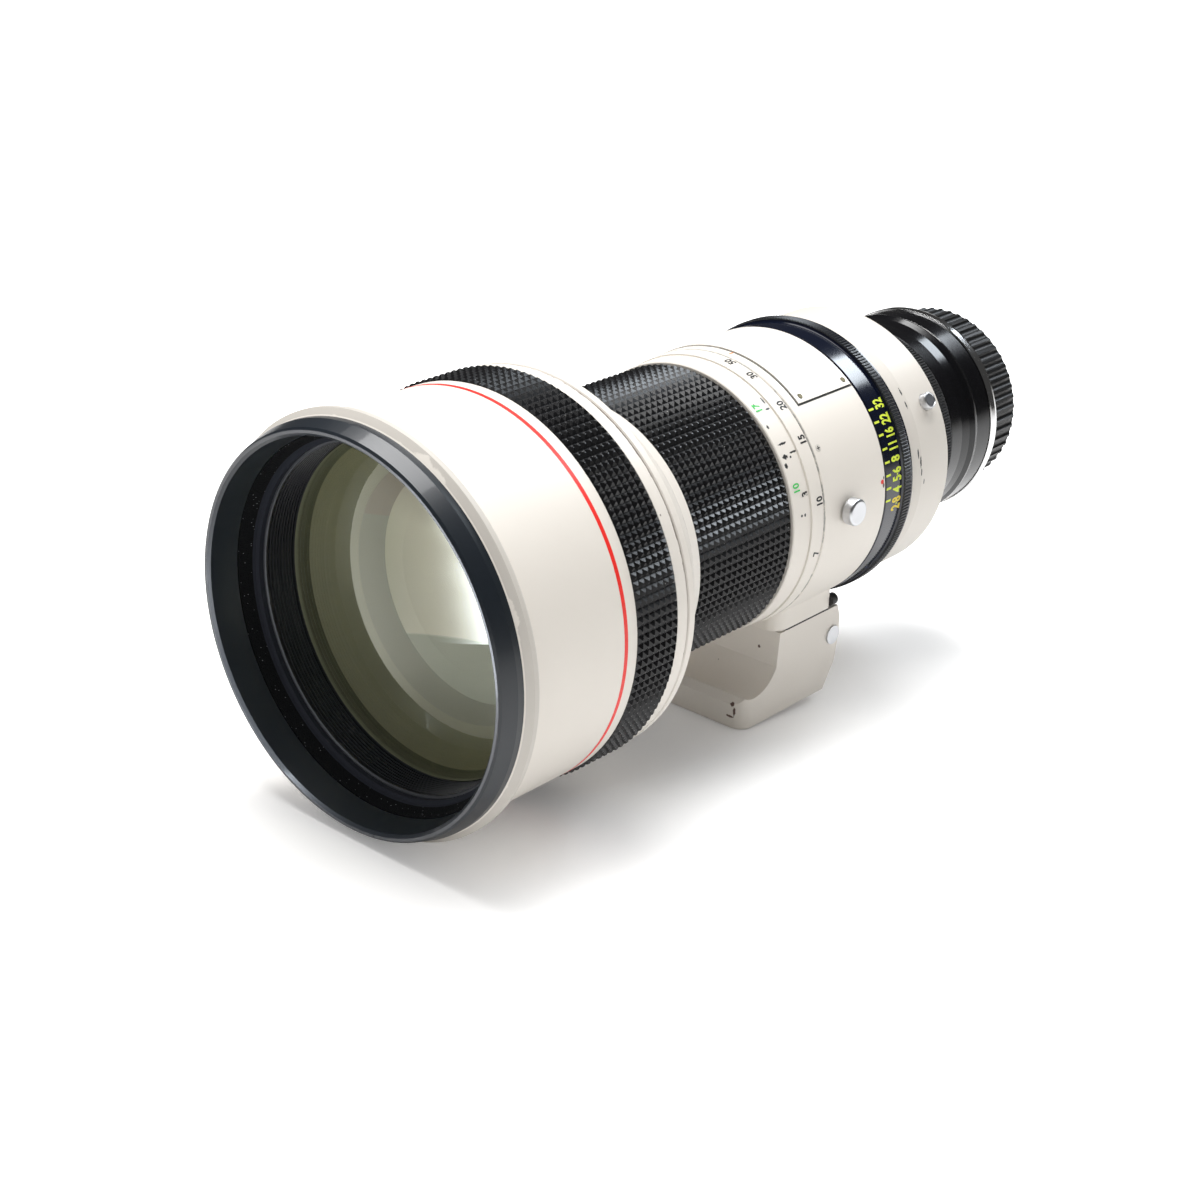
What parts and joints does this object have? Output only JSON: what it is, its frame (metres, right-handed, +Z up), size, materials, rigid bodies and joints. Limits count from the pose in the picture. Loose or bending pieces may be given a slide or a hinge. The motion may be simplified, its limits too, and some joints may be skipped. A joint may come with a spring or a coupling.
{
  "type": "telephoto prime lens",
  "caption": "Large white telephoto prime lens with sliding hood, rubber focus ring, aperture ring, tripod foot, mount adapter and ribbed rear cap.",
  "frame": {"origin": "on the optical axis, in the plane of the lens's mounting flange", "axes": "-Y is the way the front glass looks, +Y is towards the camera, +Z is up, the tripod foot points along -Z and +X is the photographer's left"},
  "size_m": [0.127, 0.2946, 0.1379],
  "materials": {
    "white_paint": "fine textured off-white enamel with worn edges",
    "foot_paint": "off-white enamel on a casting",
    "black_paint": "semi-gloss black enamel",
    "gloss_black": "gloss black enamel",
    "flock": "black flock with dust",
    "felt": "black felt",
    "rubber": "moulded black rubber with small pyramids",
    "black_anodised": "matte black anodised",
    "alloy": "machined alloy",
    "chrome": "polished chrome on brass",
    "steel": "bright steel",
    "brass": "brass",
    "gasket": "thin black gasket",
    "glass": "multi-coated optical glass",
    "blade_steel": "blackened spring steel",
    "nameplate": "off-white plate",
    "cap_plastic": "moulded black plastic"
  },
  "bodies": {
    "root": {"inner_barrel": "black_anodised", "flocked_ring": "flock", "front_retaining_ring": "black_anodised", "front_element": "glass", "second_element": "glass", "third_element": "glass", "front_cell": "black_anodised", "cell_retaining_ring": "black_anodised", "shoulder_housing": "white_paint", "shoulder_ring": "white_paint", "light_baffle": "black_anodised", "main_tube": "black_anodised", "collar": "white_paint", "nameplate": "nameplate", "nameplate_screws": "steel", "strap_studs": "chrome", "foot": "foot_paint", "foot_side_caps": "steel", "tripod_thread_bush": "steel", "foot_gasket": "gasket", "iris_housing": "brass", "iris_cover_ring": "black_anodised", "rear_barrel": "white_paint", "rear_inner_tube": "black_anodised", "button_spring": "steel", "rear_cell": "black_anodised", "rear_element_front": "glass", "rear_element_back": "glass", "mount_base": "black_anodised", "mount_plate": "chrome", "adapter_body": "gloss_black", "camera_plate": "chrome", "mount_screws": "steel"},
    "hood": {"front_rim": "black_paint", "hood_tube": "white_paint", "hood_grip_rubber": "rubber", "hood_felt_rings": "felt"},
    "focus_ring": {"focus_sleeve": "alloy", "focus_rubber": "rubber", "distance_ring": "white_paint"},
    "focus_group": {"focus_cell": "black_anodised", "focus_element_front": "glass", "focus_element_rear": "glass", "focus_cell_ring": "black_anodised", "follower_pins": "brass"},
    "aperture": {"aperture_ring": "black_paint"},
    "iris_cam": {"iris_cam_ring": "brass"},
    "button": {"release_button": "black_paint"},
    "filter": {"filter_holder": "white_paint", "filter_glass": "glass"},
    "lock_ring": {"adapter_lock_ring": "black_anodised"},
    "rear_cap_body": {"rear_cap": "cap_plastic"},
    "blade_1": {"iris_blade_1": "blade_steel"},
    "blade_2": {"iris_blade_2": "blade_steel"},
    "blade_3": {"iris_blade_3": "blade_steel"},
    "blade_4": {"iris_blade_4": "blade_steel"},
    "blade_5": {"iris_blade_5": "blade_steel"},
    "blade_6": {"iris_blade_6": "blade_steel"},
    "blade_7": {"iris_blade_7": "blade_steel"},
    "blade_8": {"iris_blade_8": "blade_steel"}
  },
  "joints": [
    {"name": "hood_slide", "type": "slide", "parent": "root", "child": "hood", "axis": [0, -1, 0], "range_m": [0, 0.045]},
    {"name": "focus_turn", "type": "hinge", "parent": "root", "child": "focus_ring", "pos_m": [0, -0.11, 0], "axis": [0, 1, 0], "range_deg": [-100, 10]},
    {"name": "focus_travel", "type": "slide", "parent": "root", "child": "focus_group", "axis": [0, 1, 0], "range_m": [-0.00101, 0.01001]},
    {"name": "aperture_turn", "type": "hinge", "parent": "root", "child": "aperture", "pos_m": [0, -0.042, 0], "axis": [0, 1, 0], "range_deg": [-9.2, 28.9]},
    {"name": "iris_cam_turn", "type": "hinge", "parent": "root", "child": "iris_cam", "pos_m": [0, -0.0455, 0], "axis": [0, 1, 0], "range_deg": [-9.25, 28.95]},
    {"name": "button_press", "type": "slide", "parent": "root", "child": "button", "axis": [-0.8499, 0, -0.527], "range_m": [0, 0.002], "stiffness_N_per_m": 400, "springref_m": -0.001, "deforming": ["button_spring"]},
    {"name": "filter_slide", "type": "slide", "parent": "root", "child": "filter", "axis": [-1, 0, 0], "range_m": [0, 0.08]},
    {"name": "lock_ring_turn", "type": "hinge", "parent": "root", "child": "lock_ring", "pos_m": [0, -0.0085, 0], "axis": [0, 1, 0], "range_deg": [0, 60]},
    {"name": "rear_cap_turn", "type": "hinge", "parent": "root", "child": "rear_cap_body", "pos_m": [0, 0.04, 0], "axis": [0, 1, 0], "range_deg": [0, 60]},
    {"name": "iris_blade_1_swing", "type": "hinge", "parent": "root", "child": "blade_1", "pos_m": [0, -0.05, 0.0308], "axis": [0, 1, 0], "range_deg": [-9.76, 30.44]},
    {"name": "iris_blade_2_swing", "type": "hinge", "parent": "root", "child": "blade_2", "pos_m": [0.02178, -0.05, 0.02178], "axis": [0, 1, 0], "range_deg": [-9.76, 30.44]},
    {"name": "iris_blade_3_swing", "type": "hinge", "parent": "root", "child": "blade_3", "pos_m": [0.0308, -0.05, 0], "axis": [0, 1, 0], "range_deg": [-9.76, 30.44]},
    {"name": "iris_blade_4_swing", "type": "hinge", "parent": "root", "child": "blade_4", "pos_m": [0.02178, -0.05, -0.02178], "axis": [0, 1, 0], "range_deg": [-9.76, 30.44]},
    {"name": "iris_blade_5_swing", "type": "hinge", "parent": "root", "child": "blade_5", "pos_m": [0, -0.05, -0.0308], "axis": [0, 1, 0], "range_deg": [-9.76, 30.44]},
    {"name": "iris_blade_6_swing", "type": "hinge", "parent": "root", "child": "blade_6", "pos_m": [-0.02178, -0.05, -0.02178], "axis": [0, 1, 0], "range_deg": [-9.76, 30.44]},
    {"name": "iris_blade_7_swing", "type": "hinge", "parent": "root", "child": "blade_7", "pos_m": [-0.0308, -0.05, 0], "axis": [0, 1, 0], "range_deg": [-9.76, 30.44]},
    {"name": "iris_blade_8_swing", "type": "hinge", "parent": "root", "child": "blade_8", "pos_m": [-0.02178, -0.05, 0.02178], "axis": [0, 1, 0], "range_deg": [-9.76, 30.44]}
  ],
  "couplings": [
    {"joint": "focus_travel", "follows": "focus_turn", "m_per_rad": -0.0057296},
    {"joint": "iris_cam_turn", "follows": "aperture_turn", "ratio": 1},
    {"joint": "iris_blade_1_swing", "follows": "aperture_turn", "ratio": 1.0499},
    {"joint": "iris_blade_2_swing", "follows": "aperture_turn", "ratio": 1.0499},
    {"joint": "iris_blade_3_swing", "follows": "aperture_turn", "ratio": 1.0499},
    {"joint": "iris_blade_4_swing", "follows": "aperture_turn", "ratio": 1.0499},
    {"joint": "iris_blade_5_swing", "follows": "aperture_turn", "ratio": 1.0499},
    {"joint": "iris_blade_6_swing", "follows": "aperture_turn", "ratio": 1.0499},
    {"joint": "iris_blade_7_swing", "follows": "aperture_turn", "ratio": 1.0499},
    {"joint": "iris_blade_8_swing", "follows": "aperture_turn", "ratio": 1.0499}
  ]
}
